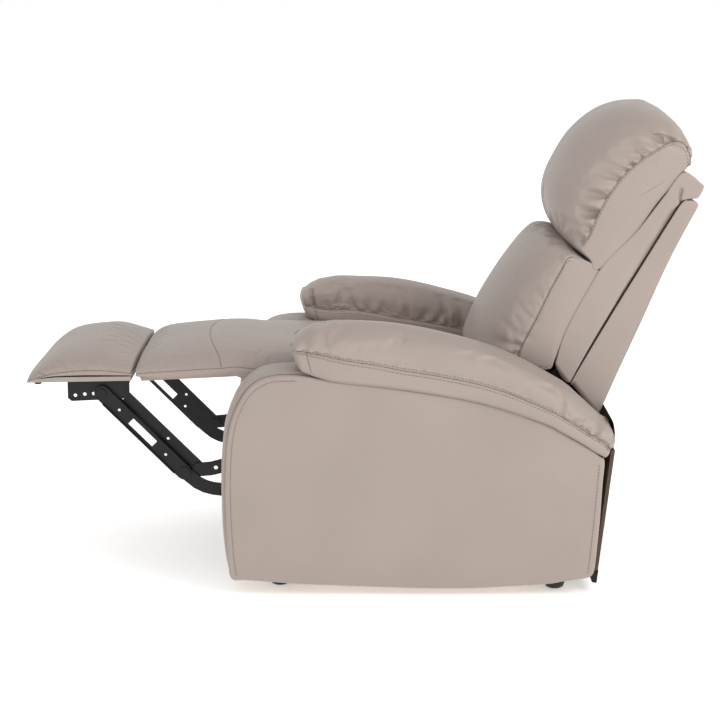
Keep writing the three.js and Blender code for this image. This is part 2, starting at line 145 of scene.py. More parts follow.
def leather(name, tint):
    """Semi-matt upholstery leather: pebble grain, faint creases, tone drift, and a lighter colour on sharp
    convex ridges.
    """
    m, nodes, links, bsdf = new_material(name)
    geo = nodes.new("ShaderNodeTexCoord").outputs["Object"]
    drift = noise(nodes, links, geo, 5.0, 3.0)
    dark = tuple(c * 0.955 for c in tint)
    light = tuple(min(c * 1.04, 1) for c in tint)
    base = ramp(nodes, links, drift, [(0.3, dark), (0.7, light)])
    # lighter colour where the surface is sharply convex
    ridge_lightening = nodes.new("ShaderNodeMix")
    ridge_lightening.data_type = "RGBA"
    point = nodes.new("ShaderNodeNewGeometry").outputs["Pointiness"]
    edge = ramp(nodes, links, point, [(0.50, (0, 0, 0)), (0.60, (1, 1, 1))])
    links.new(edge, ridge_lightening.inputs[0])
    links.new(base, ridge_lightening.inputs[6])
    ridge_lightening.inputs[7].default_value = (*[min(c * 1.13, 1) for c in tint], 1)
    links.new(ridge_lightening.outputs[2], bsdf.inputs["Base Color"])
    pores = nodes.new("ShaderNodeTexVoronoi")
    pores.feature = "DISTANCE_TO_EDGE"
    pores.inputs["Scale"].default_value = 620.0
    links.new(geo, pores.inputs["Vector"])
    crease = noise(nodes, links, geo, 160.0, 4.0, 0.6)
    soft = noise(nodes, links, geo, 22.0, 3.0)
    n1 = bump(nodes, links, pores.outputs["Distance"], 0.16, 0.0009)
    n2 = bump(nodes, links, crease, 0.10, 0.0014, n1)
    n3 = bump(nodes, links, soft, 0.12, 0.006, n2)
    links.new(n3, bsdf.inputs["Normal"])
    rough = ramp(nodes, links, crease, [(0.3, (0.42, 0.42, 0.42)), (0.75, (0.55, 0.55, 0.55))])
    links.new(rough, bsdf.inputs["Roughness"])
    bsdf.inputs["Specular IOR Level"].default_value = 0.42
    bsdf.inputs["Sheen Weight"].default_value = 0.06
    bsdf.inputs["Sheen Roughness"].default_value = 0.45
    return m


def coated_steel(name):
    """Satin black coating with a slight orange peel and a little dust."""
    m, nodes, links, bsdf = new_material(name)
    geo = nodes.new("ShaderNodeTexCoord").outputs["Object"]
    orange = noise(nodes, links, geo, 900.0, 2.0)
    dust = noise(nodes, links, geo, 30.0, 4.0)
    links.new(ramp(nodes, links, dust, [(0.35, (0.004, 0.004, 0.0045)), (0.8, (0.011, 0.011, 0.012))]),
              bsdf.inputs["Base Color"])
    links.new(ramp(nodes, links, dust, [(0.3, (0.30, 0.30, 0.30)), (0.8, (0.46, 0.46, 0.46))]),
              bsdf.inputs["Roughness"])
    links.new(bump(nodes, links, orange, 0.12, 0.0004), bsdf.inputs["Normal"])
    bsdf.inputs["Metallic"].default_value = 0.2
    bsdf.inputs["Specular IOR Level"].default_value = 0.35
    return m


def moulded(name, tone):
    """Fine-grained moulded plastic."""
    m, nodes, links, bsdf = new_material(name)
    geo = nodes.new("ShaderNodeTexCoord").outputs["Object"]
    spark = noise(nodes, links, geo, 1400.0, 2.0)
    links.new(ramp(nodes, links, spark, [(0.3, (tone, tone, tone)), (0.8, (tone * 1.8,) * 3)]),
              bsdf.inputs["Base Color"])
    bsdf.inputs["Roughness"].default_value = 0.5
    links.new(bump(nodes, links, spark, 0.3, 0.0003), bsdf.inputs["Normal"])
    return m


def cloth(name, dark, light, scale=900.0):
    """Plain woven or non-woven backing cloth."""
    m, nodes, links, bsdf = new_material(name)
    geo = nodes.new("ShaderNodeTexCoord").outputs["Object"]
    warp = nodes.new("ShaderNodeTexWave")
    warp.bands_direction = "X"
    warp.inputs["Scale"].default_value = scale / 6.0
    warp.inputs["Distortion"].default_value = 0.6
    weft = nodes.new("ShaderNodeTexWave")
    weft.bands_direction = "Z"
    weft.inputs["Scale"].default_value = scale / 6.0
    weft.inputs["Distortion"].default_value = 0.6
    links.new(geo, warp.inputs["Vector"])
    links.new(geo, weft.inputs["Vector"])
    mix = nodes.new("ShaderNodeMath")
    mix.operation = "MAXIMUM"
    links.new(warp.outputs["Fac"], mix.inputs[0])
    links.new(weft.outputs["Fac"], mix.inputs[1])
    links.new(ramp(nodes, links, mix.outputs[0], [(0.1, dark), (0.9, light)]), bsdf.inputs["Base Color"])
    bsdf.inputs["Roughness"].default_value = 0.92
    links.new(bump(nodes, links, mix.outputs[0], 0.35, 0.0005), bsdf.inputs["Normal"])
    return m


def wood(name):
    """Bare softwood and plywood."""
    m, nodes, links, bsdf = new_material(name)
    geo = nodes.new("ShaderNodeTexCoord").outputs["Object"]
    stretch = nodes.new("ShaderNodeMapping")
    stretch.inputs["Scale"].default_value = (6.0, 1.0, 14.0)
    links.new(geo, stretch.inputs["Vector"])
    rings = noise(nodes, links, stretch.outputs["Vector"], 9.0, 6.0, 0.65)
    links.new(ramp(nodes, links, rings, [(0.3, (0.33, 0.20, 0.10)), (0.7, (0.56, 0.40, 0.23))]),
              bsdf.inputs["Base Color"])
    bsdf.inputs["Roughness"].default_value = 0.68
    links.new(bump(nodes, links, rings, 0.2, 0.0008), bsdf.inputs["Normal"])
    return m


TAUPE = (0.322, 0.268, 0.237)
LEATHER = leather("taupe_leather", TAUPE)
# painted shade: the same leather made 7% darker, for the parts in the leather_shade slot, which sit in shadow
LEATHER_PAINTED_SHADE = leather("taupe_leather_painted_shade", tuple(c * 0.93 for c in TAUPE))


def thread(name, dark, light):
    """Sewing thread colour; also the colour of the painted seam shadow lines."""
    m, nodes, links, bsdf = new_material(name)
    geo = nodes.new("ShaderNodeTexCoord").outputs["Object"]
    links.new(ramp(nodes, links, noise(nodes, links, geo, 700.0, 2.0), [(0.3, dark), (0.7, light)]),
              bsdf.inputs["Base Color"])
    bsdf.inputs["Roughness"].default_value = 0.65
    return m


# dark: the thread colour, made darker than the leather partly as painted shade of the stitch holes and
# valleys
THREADS = {"dark": thread("dark_thread_with_painted_shade", (0.145, 0.112, 0.092), (0.20, 0.158, 0.132)),
           "light": thread("pale_thread", (0.36, 0.31, 0.27), (0.50, 0.44, 0.39)),
           # seam: the dark colour of the painted seam shadow lines, which stand for the shade in the seam
           # valleys
           "seam": thread("painted_seam_shadow_line", (0.10, 0.077, 0.063), (0.135, 0.105, 0.088))}
STEEL = coated_steel("black_coated_steel")
PLASTIC = moulded("black_plastic", 0.012)
BLACK_CLOTH = cloth("black_dust_cloth", (0.004, 0.004, 0.004), (0.012, 0.011, 0.010))
BROWN_CLOTH = cloth("brown_dust_cloth", (0.055, 0.040, 0.028), (0.115, 0.088, 0.064))
TIMBER = wood("bare_timber")
WIRE = coated_steel("spring_wire")
WIRE.node_tree.nodes["Principled BSDF"].inputs["Metallic"].default_value = 0.9
FLOOR, _n, _l, _b = new_material("studio_floor")
_geo = _n.new("ShaderNodeTexCoord").outputs["Object"]
_l.new(ramp(_n, _l, noise(_n, _l, _geo, 3.0, 2.0), [(0.3, (0.93, 0.93, 0.93)), (0.7, (0.95, 0.95, 0.95))]),
       _b.inputs["Base Color"])
_b.inputs["Roughness"].default_value = 0.9
_b.inputs["Emission Color"].default_value = (1, 1, 1, 1)
_b.inputs["Emission Strength"].default_value = 0.40
floor.data.materials.append(FLOOR)
# the leather_shade slot gets the painted-shade copy of the leather
SLOT_LOOK = {"leather": LEATHER, "leather_shade": LEATHER_PAINTED_SHADE, "timber": TIMBER, "black_steel": STEEL,
             "black_plastic": PLASTIC, "black_cloth": BLACK_CLOTH, "brown_cloth": BROWN_CLOTH,
             "spring_steel": WIRE}
for row in frame["record"]["subparts"]:
    ob = NODES[row["node"]]
    look = SLOT_LOOK[row["material_slot"]]
    if ob.material_slots:
        for s in ob.material_slots:
            s.material = look
    else:
        ob.data.materials.append(look)


# ---------------------------------------------------------------- curves and grids
def catmull(p, t, closed):
    """Catmull-Rom through the rows of p at parameters t, counted in points."""
    p = np.asarray(p, float)
    n = len(p)
    i = np.floor(t).astype(int)
    f = (t - i)[:, None]
    if closed:
        a, b, c, d = (p[(i + k) % n] for k in (-1, 0, 1, 2))
    else:
        i = np.clip(i, 0, n - 2)
        f = (t - i)[:, None]
        a, b, c, d = (p[np.clip(i + k, 0, n - 1)] for k in (-1, 0, 1, 2))
    square, cube = 2 * a - 5 * b + 4 * c - d, 3 * b - a - 3 * c + d
    return 0.5 * ((2 * b) + (c - a) * f + square * f ** 2 + cube * f ** 3)


def even(p, n, closed):
    """Parameters of n evenly spaced points along the curve through p."""
    last = len(p) if closed else len(p) - 1
    t = np.linspace(0, last, 40 * last + 1)
    q = catmull(p, np.minimum(t, last - 1e-9), closed)
    d = np.r_[0, np.cumsum(np.linalg.norm(np.diff(q, axis=0), axis=1))]
    want = np.linspace(0, d[-1], n + 1)[:-1] if closed else np.linspace(0, d[-1], n)
    return np.minimum(np.interp(want, d, t), last - 1e-9)


def curve(p, n, closed=False):
    return catmull(p, even(p, n, closed), closed)


def smoothstep(a, b, x):
    t = np.clip((x - a) / (b - a), 0, 1)
    return t * t * (3 - 2 * t)


def value_noise(seed, *coords):
    """Smooth noise in -1..1 of one to three coordinate arrays, one cell per unit."""
    rng = np.random.default_rng(seed)
    table = rng.uniform(-1, 1, (32,) * len(coords))
    cells = [np.floor(c).astype(int) for c in coords]
    fr = [c - k for c, k in zip(coords, cells)]
    fr = [f * f * (3 - 2 * f) for f in fr]
    out = 0
    for corner in range(2 ** len(coords)):
        bits = [(corner >> k) & 1 for k in range(len(coords))]
        w = 1
        for f, b in zip(fr, bits):
            w = w * (f if b else 1 - f)
        out = out + w * table[tuple((c + b) % 32 for c, b in zip(cells, bits))]
    return out


def grid_faces(m, n):
    """Quads of m rings of n points, each ring closed, then a fan at both ends (two more vertices)."""
    i, j = np.meshgrid(np.arange(m - 1), np.arange(n), indexing="ij")
    k = (j + 1) % n
    quads = np.stack([i * n + j, i * n + k, (i + 1) * n + k, (i + 1) * n + j], -1).reshape(-1, 4)
    a, b = m * n, m * n + 1
    j = np.arange(n)
    first = np.stack([np.full(n, a), (j + 1) % n, j], -1)
    last = np.stack([np.full(n, b), (m - 1) * n + j, (m - 1) * n + (j + 1) % n], -1)
    return [q.tolist() for q in quads] + [t.tolist() for t in first] + [t.tolist() for t in last]


def mesh_from(name, verts, faces, look):
    me = bpy.data.meshes.new(name)
    me.from_pydata(verts.tolist(), [], faces)
    me.materials.append(look)
    me.polygons.foreach_set("use_smooth", [True] * len(me.polygons))
    me.update()
    ob = bpy.data.objects.new(name, me)
    scene.collection.objects.link(ob)
    return ob


class Soft:
    """A closed form of m rings of n points, in metres, with points that can be pushed along its normals."""

    def __init__(self, grid):
        self.g = np.asarray(grid, float)
        self.flip = self.volume() < 0

    def verts(self):
        return np.vstack([self.g.reshape(-1, 3), self.g[0].mean(0), self.g[-1].mean(0)])

    def volume(self):
        v = self.verts()
        f = grid_faces(*self.g.shape[:2])
        tri = np.array([t for q in f for t in ([q[:3], [q[0], q[2], q[3]]] if len(q) == 4 else [q])])
        a, b, c = v[tri[:, 0]], v[tri[:, 1]], v[tri[:, 2]]
        return float(np.einsum("ij,ij->i", a, np.cross(b, c)).sum() / 6)

    def normals(self):
        du = np.roll(self.g, -1, 1) - np.roll(self.g, 1, 1)
        dv = np.empty_like(self.g)
        dv[1:-1] = self.g[2:] - self.g[:-2]
        dv[0], dv[-1] = self.g[1] - self.g[0], self.g[-1] - self.g[-2]
        nrm = np.cross(du, dv)
        nrm /= np.linalg.norm(nrm, axis=2, keepdims=True) + 1e-12
        return -nrm if self.flip else nrm

    def push(self, h):
        self.g = self.g + self.normals() * h[..., None]

    def faces(self):
        f = grid_faces(*self.g.shape[:2])
        return [q[::-1] for q in f] if self.flip else f

    def finer(self, ku, kv):
        """The same surface with more points: ku times round the ring, kv times as many rings."""
        m, n = self.g.shape[:2]
        t = np.arange(n * ku) / ku
        g = np.stack([catmull(r, t, True) for r in self.g])
        s = np.linspace(0, m - 1 - 1e-9, (m - 1) * kv + 1)
        flat = catmull(g.reshape(m, -1), s, False)
        self.g = flat.reshape(len(s), n * ku, 3)

    def build(self, name, look):
        return mesh_from(name, self.verts(), self.faces(), look)


CLOTH_FRAMES = 14
BROAD_PASSES = 24   # smoothing steps that separate the broad swelling from the wrinkles
BROAD_LEFT_OUT = 0.8


def simulate(soft, pins, pressure, grow, cap):
    """Cloth, swollen by pressure and cut a little too big, so that it puckers where it is pinned. No point
    moves more than cap, and most of the broad swelling is left out, so that the wrinkles remain."""
    ob = soft.build("cloth_tmp", LEATHER)
    group = ob.vertex_groups.new(name="pin")
    w = np.r_[pins.reshape(-1), 0.0, 0.0]
    for level in (0.25, 0.5, 0.75, 1.0):
        sel = np.where(np.abs(w - level) < 0.13)[0]
        if len(sel):
            group.add(sel.tolist(), float(level), "REPLACE")
    mod = ob.modifiers.new("cloth", "CLOTH")
    st = mod.settings
    st.quality = 6
    st.mass = 0.25
    st.tension_stiffness = st.compression_stiffness = 14.0
    st.shear_stiffness = 4.0
    st.bending_stiffness = 1.2
    st.tension_damping = st.compression_damping = st.shear_damping = 6.0
    st.air_damping = 3.0
    st.use_pressure = True
    st.uniform_pressure_force = pressure
    st.shrink_min = st.shrink_max = -grow
    st.vertex_group_mass = "pin"
    st.pin_stiffness = 1.0
    st.effector_weights.gravity = 0.0
    mod.collision_settings.use_collision = False
    mod.point_cache.frame_start = 1
    mod.point_cache.frame_end = CLOTH_FRAMES
    for f in range(1, CLOTH_FRAMES + 1):
        scene.frame_set(f)
    dg = bpy.context.evaluated_depsgraph_get()
    ev = ob.evaluated_get(dg)
    co = np.empty(len(ev.data.vertices) * 3)
    ev.data.vertices.foreach_get("co", co)
    bpy.data.objects.remove(ob, do_unlink=True)
    scene.frame_set(1)
    m, n = soft.g.shape[:2]
    out = co.reshape(-1, 3)[: m * n].reshape(m, n, 3)
    move = out - soft.g
    far = np.linalg.norm(move, axis=2, keepdims=True)
    move = move * np.minimum(1, cap / (far + 1e-9))
    broad = move
    for _ in range(BROAD_PASSES):
        inner = np.vstack([broad[:1], broad, broad[-1:]])
        broad = (inner[:-2] + inner[2:] + np.roll(broad, 1, 1) + np.roll(broad, -1, 1) + broad) / 5
    soft.g = soft.g + move - BROAD_LEFT_OUT * broad


STITCH_AND_SHADOW_SETS = {}


def stitches(body, line, normal, length=0.0048, gap=0.0026, radius=0.0006, lift=0.0002, thread="dark"):
    """Adds sewn stitches for a body along a line of surface points with their normals."""
    seg = np.linalg.norm(np.diff(line, axis=0), axis=1)
    d = np.r_[0, np.cumsum(seg)]
    at = np.arange(length, d[-1] - length, length + gap)
    for s in at:
        a = np.array([np.interp(s, d, line[:, k]) for k in range(3)])
        b = np.array([np.interp(s + length, d, line[:, k]) for k in range(3)])
        nn = np.array([np.interp(s, d, normal[:, k]) for k in range(3)])
        STITCH_AND_SHADOW_SETS.setdefault((body, thread), []).append((a + nn * lift, b + nn * lift, nn, radius))


def painted_seam_shadow(body, line, normal, radius=0.00062, lift=-0.0001):
    """Painted seam shadow: one thin dark line of short pieces end to end, laid in the seam where there is
    only shade.
    """
    pts = line + normal * lift
    for k in range(len(pts) - 1):
        STITCH_AND_SHADOW_SETS.setdefault((body, "seam"), []).append((pts[k], pts[k + 1], normal[k], radius))


THREAD_PROFILE = [(-0.02, 0.25), (0.12, 0.85), (0.5, 1.15), (0.88, 0.85), (1.02, 0.25)]
SHADOW_LINE_PROFILE = [(-0.04, 1.0), (1.04, 1.0)]


def build_stitches_and_shadow_lines():
    """One mesh of little rounded threads for each body and kind of thread, and one of the painted seam shadow
    lines.
    """
    sides = 5
    for (body, kind), items in STITCH_AND_SHADOW_SETS.items():
        verts, faces = [], []
        # the seam kind is the painted seam shadow lines: dark lines laid in the seams where there is only
        # shade
        prof = SHADOW_LINE_PROFILE if kind == "seam" else THREAD_PROFILE
        for a, b, nn, r in items:
            axis = b - a
            ln = np.linalg.norm(axis) + 1e-9
            t = axis / ln
            n1 = nn - t * np.dot(nn, t)
            n1 /= np.linalg.norm(n1) + 1e-9
            n2 = np.cross(t, n1)
            base = len(verts)
            for f, rr in prof:
                c = a + axis * f
                for k in range(sides):
                    ang = 2 * math.pi * k / sides
                    verts.append(c + (n1 * math.cos(ang) + n2 * math.sin(ang)) * r * rr)
            for q in range(len(prof) - 1):
                for k in range(sides):
                    k2 = (k + 1) % sides
                    faces.append([base + q * sides + k, base + q * sides + k2,
                                  base + (q + 1) * sides + k2, base + (q + 1) * sides + k])
            faces.append([base + k for k in reversed(range(sides))])
            faces.append([base + (len(prof) - 1) * sides + k for k in range(sides)])
        ob = mesh_from(f"{kind}_seam_lines_{body}", np.array(verts), faces, THREADS[kind])
        if body == "seat_top":
            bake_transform(ob)
        else:
            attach(ob, body)


# ---------------------------------------------------------------- cushions across the chair
def bolster(centre, side, half, n=150, m=86, power=2.4, dome=0.0, cap_rings=16):
    """A cushion across the chair: its (Y, Z) outline goes from `centre` at X = 0 to `side` at X = +-half.
    The ends are closed by a panel inside the side outline, which swells by `dome`."""
    c, s = np.array(centre, float), np.array(side, float)
    t = even((c + s) / 2, n, True)
    c, s = catmull(c, t, True) * MM, catmull(s, t, True) * MM
    th = np.linspace(-math.pi / 2, math.pi / 2, m)
    x = np.sin(th)
    w = (1 - np.abs(x) ** power) ** (1 / power * 1.15)
    rings = []
    for xi, wi in zip(x, w):
        o = s + (c - s) * wi
        rings.append(np.c_[np.full(n, xi * half * MM), o])
    mid = s.mean(0)
    caps = []
    for k in range(1, cap_rings + 1):
        f = 1 - k / (cap_rings + 0.6)
        o = mid + (s - mid) * f
        bulge = dome * MM * (1 - f ** 2.2)
        caps.append((o, bulge))
    left = [np.c_[np.full(n, half * MM + b), o] for o, b in caps]
    right = [np.c_[np.full(n, -half * MM - b), o] for o, b in reversed(caps)]
    g = np.array(right + rings + left)
    return Soft(g), cap_rings


HALF = 245.0        # half the width of the headrest and lumbar cushions

HEAD_C = [(500, 672), (470, 690), (440, 712), (414, 752), (403, 792), (406, 835), (424, 880), (460, 936),
          (512, 980), (572, 1002), (630, 998), (668, 972), (690, 932), (695, 902), (680, 880), (625, 815),
          (575, 745)]
HEAD_S = [(500, 672), (484, 690), (466, 713), (478, 742), (494, 782), (516, 824), (545, 864), (580, 897),
          (612, 918), (640, 934), (662, 935), (676, 925), (684, 905), (684, 888), (672, 876), (622, 812),
          (575, 748)]
LUMB_C = [(498, 664), (470, 690), (435, 722), (400, 733), (368, 716), (330, 672), (295, 622), (265, 572),
          (243, 525), (232, 485), (240, 462), (300, 457), (384, 455), (409, 480), (430, 535), (465, 600)]
LUMB_S = [(499, 664), (470, 688), (437, 694), (421, 668), (402, 634), (385, 598), (370, 566), (356, 538),
          (343, 512), (334, 488), (335, 470), (362, 459), (400, 457), (411, 480), (430, 535), (465, 600)]


def groove(soft, ring, depth, width, mask):
    """A sewn valley along a ring."""
    m, n = soft.g.shape[:2]
    step = np.linalg.norm(np.diff(soft.g, axis=0), axis=2)
    d = np.zeros((m, n))
    d[ring + 1:] = np.cumsum(step[ring:], axis=0)
    d[:ring] = np.cumsum(step[:ring][::-1], axis=0)[::-1]
    return -depth * np.exp(-(d / width) ** 2) * mask[None, :]


def undulate(soft, size, height, seed):
    """Broad soft unevenness of the given size and height, in metres."""
    g = soft.g / size
    return height * value_noise(seed, g[..., 0] + 9, g[..., 1] + 11, g[..., 2] + 13)


def window(n, lo, hi, soft_edge=0.03):
    """1 between the fractions lo and hi of a ring of n points, 0 outside."""
    u = np.arange(n) / n
    return smoothstep(lo - soft_edge, lo + soft_edge, u) * (1 - smoothstep(hi - soft_edge, hi + soft_edge, u))


def finish_piece(soft, name, body, node):
    """A leather piece that rides on a body and stands for a node."""
    ob = soft.build(name, LEATHER)
    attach(ob, body)
    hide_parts(node)


def both(soft_maker, name, body, node):
    """Builds a left piece, and its mirror image on the right."""
    for side, sign in (("left", 1), ("right", -1)):
        soft = soft_maker(sign)
        soft.g = soft.g * np.array([sign, 1, 1])
        soft.flip = soft.volume() < 0
        finish_piece(soft, f"{side}_{name}", body, f"{side}_{node}")


# ---- headrest and lumbar cushions: a front panel gathered into smooth side gussets
def ring_distance(soft, ring, side):
    """Distance of every point from a ring along the rows, on one side of it, and a mask of that side."""
    m, n = soft.g.shape[:2]
    step = np.linalg.norm(np.diff(soft.g, axis=0), axis=2)
    d = np.zeros((m, n))
    on = np.zeros((m, n))
    if side > 0:
        d[ring + 1:] = np.cumsum(step[ring:], axis=0)
        on[ring:] = 1
    else:
        d[:ring] = np.cumsum(step[:ring][::-1], axis=0)[::-1]
        on[:ring + 1] = 1
    return d, on


def pleats(run, d, count, lo, hi, reach, width, depth, seed, slant=0.35):
    """Separate tapered pleats that start at a seam (d = 0) between the positions lo and hi along it."""
    rng = np.random.default_rng(seed)
    out = np.zeros(np.broadcast(run, d).shape)
    for at in np.linspace(lo, hi, count):
        at = at + rng.normal() * 0.28 * (hi - lo) / count
        r, w = reach * rng.uniform(0.5, 1.3), width * rng.uniform(0.7, 1.3)
        a, lean = depth * rng.uniform(0.45, 1.2), slant * rng.uniform(-1, 1)
        across = (run - at - lean * d) / (w * (1 + 0.9 * d / r))
        env = np.exp(-(d / r) ** 2) * smoothstep(0, 0.004, d)
        out += a * env * (0.4 * np.exp(-(across - 1.9) ** 2) - np.exp(-across ** 2))
    return out


def back_cushion(name, node, centre, side, front, grow, seed, creases, gather):
    """A cushion whose gathered front panel lies between the fractions `front` of its outline. creases are
    (y, z, dy, dz, length, depth, width, |x| where it starts) in mm, and gather holds rows of pleats."""
    soft, k = bolster(centre, side, HALF, n=150, m=84, dome=5.0)
    m, n = soft.g.shape[:2]
    lo, hi = front
    pins = np.repeat(1 - window(n, lo + 0.02, hi - 0.05, 0.03)[None, :], m, 0)
    pins[:k + 1], pins[m - 1 - k:] = 1.0, 1.0
    simulate(soft, pins, pressure=1.5, grow=grow, cap=0.010)
    soft.finer(2, 2)
    k *= 2
    m, n = soft.g.shape[:2]
    mask = window(n, lo, hi)
    h = undulate(soft, 0.13, 0.0022, seed) + undulate(soft, 0.05, 0.0006, seed + 3)
    seam = soft.g[k]
    run = np.r_[0, np.cumsum(np.linalg.norm(np.diff(seam, axis=0), axis=1))]
    total = run[-1]
    for ring, side_way in ((k, 1), (m - 1 - k, -1)):
        h += groove(soft, ring, 0.0030, 0.0045, mask)
        d, on = ring_distance(soft, ring, side_way)
        for (count, a, b, reach, width, depth) in gather:
            h += pleats(run[None, :], d, count, a * total, b * total,
                        reach, width, depth, seed + ring % 5) * on
        d, on = ring_distance(soft, ring, -side_way)
        h += pleats(run[None, :], d, 14, (lo + 0.03) * total, (hi - 0.08) * total,
                    0.010, 0.004, 0.0007, seed + 9) * on
    g = soft.g
    for (y, z, dy, dz, length, depth, width, x0) in creases:
        # a drag crease from (y, z) along (dy, dz), fading towards the middle of the chair
        way = np.array([dy, dz], float) / math.hypot(dy, dz)
        ry, rz = g[..., 1] - y * MM, g[..., 2] - z * MM
        along = ry * way[0] + rz * way[1]
        across = -ry * way[1] + rz * way[0] + 0.004 * np.sin(along * 60)
        env = np.exp(-(across / (width * MM)) ** 2) * smoothstep(-0.01, 0.012, along)
        env = env * (1 - smoothstep(0.6, 1.0, along / (length * MM)))
        h -= depth * MM * env * smoothstep(x0 * MM, (x0 + 60) * MM, np.abs(g[..., 0]))
    soft.push(h)
    finish_piece(soft, name, "back", node)
    nrm = soft.normals()
    idx = np.arange(int(lo * n) + 4, int((hi - 0.045) * n))
    for ring, off in ((k, -2), (m - 1 - k, 2)):
        painted_seam_shadow("back", soft.g[ring][idx], nrm[ring][idx])
        stitches("back", soft.g[ring + off][idx], nrm[ring + off][idx])
    return soft


HEAD_CREASES = [(545, 915, 60, -20, 80, 2.0, 8, 150), (628, 955, 50, -40, 75, 5.0, 7, 120)]
LUMB_CREASES = [(300, 560, 60, -40, 90, 2.0, 8, 150), (330, 600, 50, -50, 80, 1.6, 8, 160),
                (380, 690, 40, 10, 80, 1.8, 8, 150)]
HEAD_GATHER = [(15, 0.10, 0.58, 0.056, 0.0062, 0.0085), (24, 0.09, 0.60, 0.020, 0.0035, 0.0026)]
LUMB_GATHER = [(8, 0.46, 0.66, 0.060, 0.0065, 0.0050), (10, 0.12, 0.42, 0.030, 0.006, 0.0012)]
back_cushion("headrest", "headrest_cushion", HEAD_C, HEAD_S, (0.08, 0.70), 0.018, 11, HEAD_CREASES,
             HEAD_GATHER)
back_cushion("lumbar", "lumbar_cushion", LUMB_C, LUMB_S, (0.08, 0.68), 0.010, 31, LUMB_CREASES,
             LUMB_GATHER)


# ---- sweeps: rings between a lower line and an upper line, each a section across the chair
def sweep(lower, upper, section, m, n, ends, end_round):
    """lower and upper are matching (Y, Z) lines. section(s) gives (h, x) for n points of a closed ring,
    h from the lower line (0) to the upper (1), x in millimetres. Each end closes over a rounded nose."""
    lo, up = np.array(lower, float), np.array(upper, float)
    t = even((lo + up) / 2, m, False)
    lo, up = catmull(lo, t, False) * MM, catmull(up, t, False) * MM
    rings = []
    for i, s in enumerate(np.linspace(0, 1, m)):
        h, x = section(s, n)
        p = lo[i] + (up[i] - lo[i]) * h[:, None]
        rings.append(np.c_[x * MM, p])
    rings = np.array(rings)

    def nose(ring, inner, count, depth):
        mid = ring.mean(0)
        out = mid - inner.mean(0)
        out /= np.linalg.norm(out)
        got = []
        for k in range(1, count + 1):
            a = (math.pi / 2) * k / (count + 0.35)
            got.append(mid + (ring - mid) * math.cos(a) + out * depth * math.sin(a))
        return got

    first = nose(rings[0], rings[1], ends[0], end_round[0])[::-1]
    last = nose(rings[-1], rings[-2], ends[1], end_round[1])
    return Soft(np.array(first + list(rings) + last))


def loop_section(points, n):
    """An even closed loop of n (h, x) points through the given ones, scaled so that both count alike."""
    p = np.array(points, float)
    k = np.array([100.0, 1.0])
    q = catmull(p * k, even(p * k, n, True), True) / k
    return q[:, 0], q[:, 1]


def split_section(lower, upper, n):
    """A closed loop of (h, x) points whose lower part runs from the far seam (column 0) under the piece to
    the near seam (column low_count(n)), and whose upper part runs back over the top."""
    k = np.array([100.0, 1.0])
    low = low_count(n)
    a = curve(np.array(lower, float) * k, low + 1)[:-1] / k
    b = curve(np.array(upper, float) * k, n - low + 1)[:-1] / k
    p = np.vstack([a, b])
    return p[:, 0], p[:, 1]


def low_count(n):
    """How many of a section's n points are in its lower part."""
    return int(n * 0.4)


def dome(k, half, power=3.0, flat=0.5, count=17):
    """The (h, x) points of a crowned top between two side seams at height k."""
    x = np.cos(np.linspace(0, math.pi, count)) * half
    return [(k + (1 - k) * (1 - abs(v / half) ** power) ** flat if abs(v) < half - 1e-6 else k, v) for v in x]


def fold_noise(soft, length, across, depth, seed):
    """Long soft drag folds, stretched along one direction."""
    g = soft.g
    v = value_noise(seed, g[..., 0] / across + 5, g[..., 1] / length + 7, g[..., 2] / length + 3)
    return -depth * np.clip(v, 0, 1) ** 1.5


def seam_valley(soft, col, depth, width):
    """A valley along a column of a swept form, that dies out with the distance from it."""
    rows, cols = soft.g.shape[:2]
    step = np.linalg.norm(np.roll(soft.g, -1, 1) - soft.g, axis=2)
    d = np.full((rows, cols), 1.0)
    for way in (1, -1):
        run, j = np.zeros(rows), col
        for _ in range(cols // 6):
            k = (j + way) % cols
            run = run + (step[:, j] if way > 0 else step[:, k])
            d[:, k] = run
            j = k
    d[:, col] = 0
    return -depth * np.exp(-(d / width) ** 2), d


# ---- arm pillows: crowned top, seam all along both sides, plain lower band
PILLOW_LOW = [(-112, 474), (-84, 463), (-40, 453), (82, 438.5), (246, 410), (370, 370), (418, 346),
              (455, 325), (484, 306), (502, 297)]
PILLOW_TOP = [(-132, 543), (-108, 560), (-50, 570), (88, 563), (268, 521), (407, 451), (455, 413),
              (493, 378), (520, 360), (529, 336)]
SEAM_AT = ([0.0, 0.03, 0.08, 0.13, 0.30, 0.55, 0.80, 1.0], [0.66, 0.56, 0.48, 0.43, 0.35, 0.36, 0.37, 0.46])


def pillow_section(s, n):
    k = float(np.interp(s, *SEAM_AT))
    ki = k - 0.16 * float(1 - smoothstep(0.02, 0.16, s))
    up = 1 - k
    lower = [(ki, 254), (ki * 0.6, 251.5), (k * 0.25, 252.5), (0.04, 258), (0.0, 272), (0.0, 321), (0.0, 368),
             (0.03, 383), (k * 0.25, 389.5), (k * 0.6, 391), (k, 388)]
    upper = [(k, 388), (k + up * 0.15, 391.5), (k + up * 0.40, 390), (k + up * 0.66, 381),
             (k + up * 0.86, 362), (k + up * 0.98, 336), (1.0, 314), (k + up * 0.94, 284),
             (k + up * 0.78, 263), (k + up * 0.5, 252.5), (k + up * 0.18, 251), (ki, 254)]
    h, x = split_section(lower, upper, n)
    tip = 1 - smoothstep(0.0, 0.10, s)
    rear = smoothstep(0.86, 1.0, s)
    return h, 321 + (x - 321) * (1 - 0.08 * tip - 0.08 * rear)


